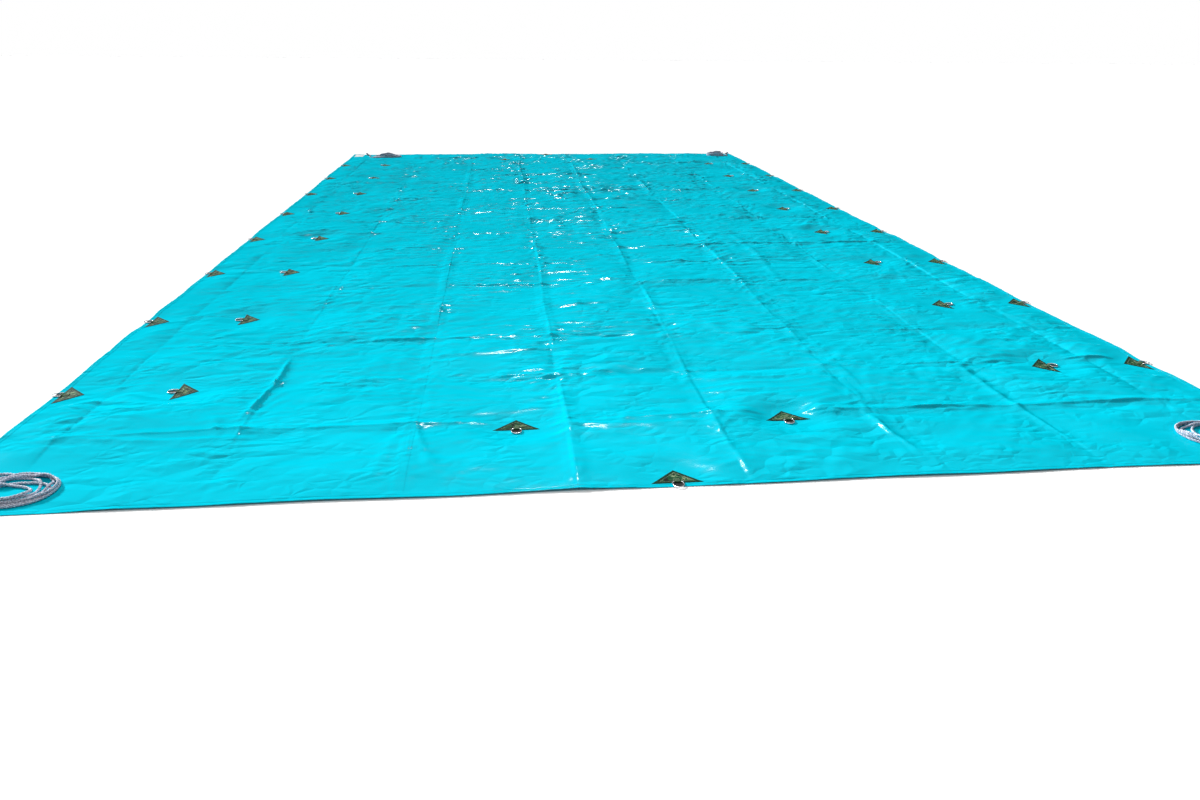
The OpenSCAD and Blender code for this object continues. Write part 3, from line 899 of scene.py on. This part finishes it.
def add_binding(parts, ring):
    """The bound edge round the patch, rounded over its outer side."""
    section = ((0.0, 0.0), (0.0, 0.75), (0.10, 1.2), (0.30, 1.4), (0.85, 1.4), (1.0, 1.15), (1.0, 0.7))
    steps = 24
    share = np.linspace(0, 1, steps, endpoint=False)[:, None]
    loops = []
    for depth, height in section:
        corners = inner_triangle(depth * BINDING_W)
        line = np.vstack([corners[k] + (corners[(k + 1) % 3] - corners[k]) * share for k in range(3)])
        loops.append(on_sheet(ring, line[:, 0], line[:, 1], height * MM))
    points = np.stack(loops, 0)
    parts.add(points, grid_faces(len(section), 3 * steps, wrap_columns=True), 1)


STITCH_R = 0.45 * MM


def add_stitches(parts, ring, line, pitch, height, material):
    """A row of stitches along a line of places round a ring, each one a short arched thread."""
    line = resample(line, pitch)
    t = np.array((0.0, 0.12, 0.4, 0.68, 0.8))
    lift = np.array((-0.4, 0.1, 0.2, 0.1, -0.4)) * MM
    spots = line[:-1, None] + (line[1:] - line[:-1])[:, None] * t[None, :, None]
    for path in on_sheet(ring, spots[..., 0], spots[..., 1], height + lift):
        parts.add(*tube(path, STITCH_R, 5), material)


def straight(a, b):
    return np.linspace(a, b, 6)


def add_patch(parts, ring):
    """A ring's patch with two rows of stitches along each side."""
    add_plate(parts, ring)
    add_binding(parts, ring)
    for inset in (BINDING_W - 1 * MM, BINDING_W + 2 * MM):
        corners = inner_triangle(inset)
        for k in range(3):
            line = straight(corners[k], corners[(k + 1) % 3])
            add_stitches(parts, ring, line, 4.5 * MM, PATCH_TOP - 0.45 * MM, 2)


def make_patches(name, at_hem):
    parts = Parts()
    for ring in RINGS:
        if ring.at_hem == at_hem:
            add_patch(parts, ring)
    patches = parts.build("camouflage_" + name, [CAMOUFLAGE, BINDING, THREAD])
    return fixed(patches, name)


TAB_HALF = 12 * MM
TAB_END = 28 * MM
TAB_FLOOR = 2.0 * MM
TAB_TOP = 3.2 * MM
SLEEVE_R = 3.55 * MM


def tab_outline(bar_z):
    """The tab seen along the bar: two layers sewn down, and round the bar at the outer end."""
    arc = np.radians(np.arange(85, 231, 12))
    round_bar = [(SLEEVE_R * math.cos(a), bar_z + SLEEVE_R * math.sin(a)) for a in arc]
    sewn = [(TAB_END, TAB_FLOOR), (TAB_END + 0.5 * MM, TAB_FLOOR + 0.4 * MM),
            (TAB_END + 0.5 * MM, TAB_TOP - 0.3 * MM), (TAB_END, TAB_TOP),
            (TAB_END - 6 * MM, TAB_TOP + 0.1 * MM), (10 * MM, TAB_TOP + 0.5 * MM),
            (5 * MM, TAB_TOP + 2.2 * MM)]
    return np.array(sewn + round_bar)


def add_prism(parts, place, outline, half_width, bevel):
    """A shape of the given outline in v and z, extruded along u with rounded edges."""
    middle = outline.mean(0)
    inner = middle + (outline - middle) * (1 - bevel / np.abs(outline - middle).max())
    shrunk = outline + np.clip(inner - outline, -bevel, bevel)
    layers = ((-half_width, shrunk), (-half_width + bevel, outline),
              (half_width - bevel, outline), (half_width, shrunk))
    points = np.stack([place(np.full(len(shape), u), shape[:, 0], shape[:, 1]) for u, shape in layers])
    faces = grid_faces(len(layers), len(outline), wrap_columns=True)
    parts.add(points, faces + end_faces(len(layers), len(outline)))


def add_tab(parts, ring):
    """A ring's tab, with a row of stitches round its sewn part and two across it."""
    def place(u, v, z):
        x, y = ring.place(u, v)
        return np.stack((x, y, z), -1)

    add_prism(parts, place, tab_outline(ring.bar_z), TAB_HALF, 0.5 * MM)
    left, right, near, far = -9 * MM, 9 * MM, 11 * MM, 25 * MM
    corners = [(left, near), (right, near), (right, far), (left, far)]
    lines = [(corners[k], corners[(k + 1) % 4]) for k in range(4)]
    lines += [(corners[0], corners[2]), (corners[1], corners[3])]
    for a, b in lines:
        add_stitches(parts, ring, straight(a, b), 3.6 * MM, TAB_TOP - FABRIC_T + 0.15 * MM, 1)


def make_tabs():
    parts = Parts()
    for ring in RINGS:
        add_tab(parts, ring)
    tabs = parts.build("webbing_tabs", [WEBBING, THREAD])
    return fixed(tabs, "tabs")


PAD_HALF = 18.5 * MM
PAD_START = 4 * MM
PAD_ROUND = 18.5 * MM
PAD_TOP = 2.0 * MM


def pad_outline(at_hem):
    """The pad's outline outward from the bar, in u and v."""
    reach = 28 * MM if at_hem else PAD_ROUND + PAD_HALF
    arc = np.radians(np.arange(180, 361, 7.5))
    bow = np.stack((PAD_HALF * np.cos(arc), -PAD_ROUND + PAD_HALF * np.sin(arc)), -1)
    bow[:, 1] = np.maximum(bow[:, 1], -reach)
    return np.vstack(((-PAD_HALF, -PAD_START), bow, (PAD_HALF, -PAD_START)))


def make_pads():
    parts = Parts()
    for ring in RINGS:
        outline = pad_outline(ring.at_hem)
        middle = outline.mean(0)
        bottom = 2 * FABRIC_T if ring.at_hem else FABRIC_T
        layers = ((0.0, bottom), (0.0, PAD_TOP - 0.35 * MM), (0.02, PAD_TOP - 0.1 * MM), (0.06, PAD_TOP))
        points = []
        for inset, z in layers:
            shape = middle + (outline - middle) * (1 - inset)
            x, y = ring.place(shape[:, 0], shape[:, 1])
            points.append(np.stack((x, y, np.full(len(shape), z)), -1))
        faces = grid_faces(len(layers), len(outline), wrap_columns=True)
        parts.add(np.stack(points), faces + end_faces(len(layers), len(outline)))
    pads = parts.build("rubber_pads", [RUBBER])
    return fixed(pads, "chafe_pads")


make_patches("patches_hem", True)
make_patches("patches_inner", False)
make_tabs()
make_pads()


# ---------------------------------------------------------------- corner loops and label

LOOP_T = 1.5 * MM
LOOP_HALF = 12.5 * MM
LOOP_BEND_R = 6.75 * MM
LOOP_TUNNEL_Z = 8.1 * MM


def loop_line():
    """The middle of a loop's webbing seen along the rope: a foot, the arch and the other foot."""
    foot_z = FABRIC_T + LOOP_T / 2
    arc = np.radians(np.arange(0, 181, 15))
    arch = [(LOOP_BEND_R * math.cos(a), LOOP_TUNNEL_Z + LOOP_BEND_R * math.sin(a)) for a in arc]
    foot = [(30 * MM, foot_z), (20 * MM, foot_z), (10 * MM, foot_z), (7.4 * MM, foot_z + 0.5 * MM)]
    return np.array(foot + arch + [(-v, z) for v, z in reversed(foot)])


def loop_outline(line):
    """The webbing's outline, on both sides of its middle line."""
    ahead = np.gradient(line, axis=0)
    ahead /= np.linalg.norm(ahead, axis=1)[:, None]
    across = np.stack((-ahead[:, 1], ahead[:, 0]), -1) * LOOP_T / 2
    outline = np.vstack((line + across, (line - across)[::-1]))
    outline[:, 1] = np.maximum(outline[:, 1], FABRIC_T)
    return outline


def loop_place(corner, u, v, z):
    """Points u along the rope's anchor and v across it, which lies at 45 degrees to the corner."""
    anchor_x, anchor_y = ANCHORS[corner]
    x, y = corner_place(corner, anchor_x + DIAGONAL * (u - v), anchor_y + DIAGONAL * (u + v))
    return np.stack((x, y, z + 0 * x), -1)


def add_loop(parts, corner, line, outline):
    """One corner's loop, with thinner edges."""
    count = len(outline)
    edge = 0.4 * MM
    layers = ((-LOOP_HALF, 0.7), (-LOOP_HALF + edge, 1.0), (LOOP_HALF - edge, 1.0), (LOOP_HALF, 0.7))
    centre = np.vstack((line, line[::-1]))
    points = []
    for u, thickness in layers:
        shape = centre + (outline - centre) * thickness
        points.append(loop_place(corner, np.full(count, u), shape[:, 0], shape[:, 1]))
    faces = grid_faces(len(layers), count, wrap_columns=True)
    for layer in (0, len(layers) - 1):
        start = layer * count
        for k in range(len(line) - 1):
            quad = [start + k, start + k + 1, start + count - 2 - k, start + count - 1 - k]
            faces.append(quad if layer else quad[::-1])
    parts.add(np.stack(points), faces)


def add_loop_stitches(parts, corner):
    """Three rows of stitches across each foot of a loop."""
    reach = np.array((0.0, 0.4, 1.3, 2.2, 2.6)) * MM
    lift = np.array((-0.4, 0.15, 0.35, 0.15, -0.4)) * MM
    for side in (-1, 1):
        for row in (13 * MM, 19 * MM, 26 * MM):
            for step in np.arange(-9, 9, 3.6) * MM:
                thread = loop_place(corner, step + reach, np.full(5, side * row), FABRIC_T + LOOP_T + lift)
                parts.add(*tube(thread, STITCH_R, 5), 1)


def make_corner_loops():
    """Webbing arches at the ropes' anchors, with both feet sewn down."""
    line = loop_line()
    outline = loop_outline(line)
    parts = Parts()
    for corner in range(4):
        add_loop(parts, corner, line, outline)
        add_loop_stitches(parts, corner)
    loops = parts.build("anchor_loops", [LOOP_WEBBING, THREAD])
    return fixed(loops, "corner_loops")


def rimmed(low, high, rim, count):
    """Places from low to high, close together at the rims' edges."""
    middle = np.linspace(low + rim + 1 * MM, high - rim - 1 * MM, count)
    start = [low, low + 0.6 * MM, low + rim]
    end = [high - rim, high - 0.6 * MM, high]
    return np.concatenate((start, middle, end))


def make_label():
    """The blank label, welded down with a raised rim."""
    low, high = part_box("label")
    rim = 6 * MM
    xs = rimmed(low.x, high.x, rim, 14)
    ys = rimmed(low.y, high.y, rim, 24)
    x, y = np.meshgrid(xs, ys)
    from_edge = np.minimum(np.minimum(x - low.x, high.x - x), np.minimum(y - low.y, high.y - y))
    up = np.where(from_edge < 0.3 * MM, 0.05 * MM, np.where(from_edge < rim + 0.5 * MM, 0.45 * MM, 0.3 * MM))
    parts = Parts()
    parts.add(lay(x, y, up), grid_faces(len(ys), len(xs)))
    label = parts.build("blank_label", [LABEL_FILM])
    return fixed(label, "label")


make_corner_loops()
make_label()

for ring in RINGS:
    node = frame["nodes"][ring.name]
    node.data.materials.clear()
    node.data.materials.append(STEEL)


# ---------------------------------------------------------------- floor and light

def make_floor():
    """A plain pale floor, just under the sheet."""
    size = 60
    z = -0.5 * MM
    parts = Parts()
    parts.add([(-size, -size, z), (size, -size, z), (size, size, z), (-size, size, z)], [(0, 1, 2, 3)])
    floor = parts.build("floor", [pale_floor()])


def make_sun(name, azimuth, elevation, strength, softness):
    """A sun from azimuth degrees clockwise of +Y."""
    data = bpy.data.lights.new(name, "SUN")
    data.energy = strength
    data.angle = math.radians(softness)
    sun = bpy.data.objects.new(name, data)
    bpy.context.scene.collection.objects.link(sun)
    a, e = math.radians(azimuth), math.radians(elevation)
    towards = Vector((math.sin(a) * math.cos(e), math.cos(a) * math.cos(e), math.sin(e)))
    sun.rotation_euler = towards.to_track_quat("Z", "Y").to_euler()


def make_front_fill():
    """A large soft panel over the front edge."""
    data = bpy.data.lights.new("front_fill", "AREA")
    data.energy = 60
    data.size = 3.0
    panel = bpy.data.objects.new("front_fill", data)
    bpy.context.scene.collection.objects.link(panel)
    panel.location = (-1.0, -5.0, 4.0)
    panel.rotation_euler = Vector((-1.0, -1.5, 4.0)).to_track_quat("Z", "Y").to_euler()
    panel.visible_camera = False


def make_world():
    """White to the camera, a soft fill on surfaces, and dim low down in reflections."""
    world = bpy.data.worlds.new("studio")
    bpy.context.scene.world = world
    world.use_nodes = True
    tree = world.node_tree
    background = tree.nodes["Background"]
    world.cycles.sampling_method = "NONE"
    reflected = tree.nodes.new("ShaderNodeBackground")
    place = tree.nodes.new("ShaderNodeTexCoord")
    split = tree.nodes.new("ShaderNodeSeparateXYZ")
    tree.links.new(place.outputs["Generated"], split.inputs["Vector"])
    stops = ((0.0, (0.015, 0.015, 0.015)), (0.30, (0.05, 0.05, 0.05)), (0.75, (0.80, 0.80, 0.80)))
    tree.links.new(ramp(tree, split.outputs["Z"], stops), reflected.inputs["Color"])
    rays = tree.nodes.new("ShaderNodeLightPath")
    seen = tree.nodes.new("ShaderNodeBackground")
    mix = tree.nodes.new("ShaderNodeMixShader")
    tree.links.new(rays.outputs["Is Glossy Ray"], mix.inputs["Fac"])
    tree.links.new(background.outputs["Background"], mix.inputs[1])
    tree.links.new(reflected.outputs["Background"], mix.inputs[2])
    seen.inputs["Color"].default_value = (1, 1, 1, 1)
    outer = tree.nodes.new("ShaderNodeMixShader")
    tree.links.new(rays.outputs["Is Camera Ray"], outer.inputs["Fac"])
    tree.links.new(mix.outputs["Shader"], outer.inputs[1])
    tree.links.new(seen.outputs["Background"], outer.inputs[2])
    tree.links.new(outer.outputs["Shader"], tree.nodes["World Output"].inputs["Surface"])
    background.inputs["Color"].default_value = (1, 1, 1, 1)
    background.inputs["Strength"].default_value = 0.15


make_floor()
make_world()
make_sun("low_key", -46, 24, 5.3, 6)
make_sun("high_back", 4, 46, 1.1, 5)
make_front_fill()
bpy.context.scene.view_settings.view_transform = "Standard"
